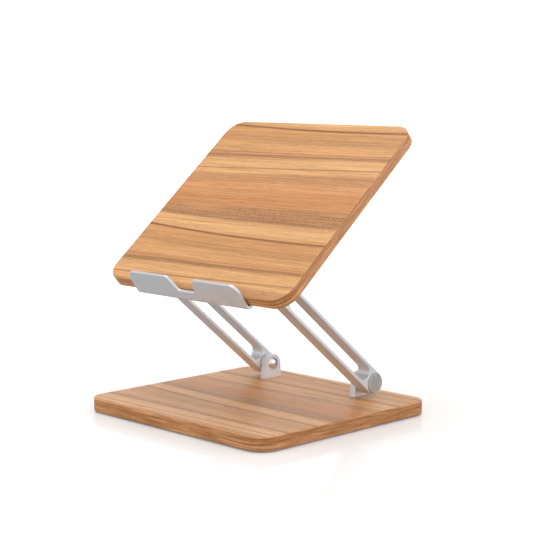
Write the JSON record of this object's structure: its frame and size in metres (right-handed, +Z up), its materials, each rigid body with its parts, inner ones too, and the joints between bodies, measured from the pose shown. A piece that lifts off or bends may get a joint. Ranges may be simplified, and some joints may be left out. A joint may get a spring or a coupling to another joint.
{
  "type": "tablet stand",
  "caption": "Folding desk stand: a wooden base and a tilting wooden tablet board, joined by slotted aluminium arms with friction hinges; a bent ledge holds the tablet.",
  "frame": {"origin": "middle of the footprint, on the surface that the feet stand on", "axes": "+Z up, +X to the user's right, -Y towards the user, who looks along +Y; the tablet board rises towards +Y"},
  "size_m": [0.24, 0.224, 0.2717],
  "materials": {
    "walnut_laminate": "satin lacquered streaky wood grain running left to right",
    "satin_aluminium": "bead-blasted, satin anodised",
    "brushed_cap": "brushed, mid grey",
    "polished_chrome": "polished dome",
    "zinc_steel": "bright zinc plate",
    "spring_steel": "dark tempered steel",
    "nylon": "natural nylon",
    "foot_rubber": "matte silicone"
  },
  "bodies": {
    "base": {"base_board": "walnut_laminate", "base_feet": "foot_rubber", "base_bracket_left": "satin_aluminium", "base_bracket_right": "satin_aluminium", "base_bracket_screws": "zinc_steel", "lower_pivot_bolt_left": "polished_chrome", "lower_pivot_bolt_right": "polished_chrome", "lower_friction_washers": "nylon", "lower_spring_washers": "spring_steel", "lower_steel_washers": "zinc_steel", "lower_lock_nuts": "zinc_steel"},
    "arms": {"arm_left": "satin_aluminium", "arm_right": "satin_aluminium", "lower_cap_left": "brushed_cap", "lower_cap_right": "brushed_cap", "upper_cap_left": "brushed_cap", "upper_cap_right": "brushed_cap"},
    "upper_pivots": {"upper_pivot_bolt_left": "polished_chrome", "upper_pivot_bolt_right": "polished_chrome", "upper_friction_washers": "nylon", "upper_spring_washers": "spring_steel", "upper_steel_washers": "zinc_steel", "upper_lock_nuts": "zinc_steel"},
    "board": {"tablet_board": "walnut_laminate", "board_bracket_left": "satin_aluminium", "board_bracket_right": "satin_aluminium", "board_bracket_screws": "zinc_steel", "ledge": "satin_aluminium", "ledge_screws": "zinc_steel"}
  },
  "joints": [
    {"name": "lower_hinge", "type": "hinge", "parent": "base", "child": "arms", "pos_m": [0, 0.0785, 0.0281], "axis": [1, 0, 0], "range_deg": [-50.5, 39.5]},
    {"name": "upper_pivot_follow", "type": "hinge", "parent": "arms", "child": "upper_pivots", "pos_m": [0, -0.04496, 0.12987], "axis": [1, 0, 0], "range_deg": [-39.5, 50.5]},
    {"name": "board_tilt", "type": "hinge", "parent": "upper_pivots", "child": "board", "pos_m": [0, -0.04496, 0.12987], "axis": [-1, 0, 0], "range_deg": [-2.8, 40.2]}
  ],
  "couplings": [
    {"joint": "upper_pivot_follow", "follows": "lower_hinge", "ratio": -1}
  ]
}
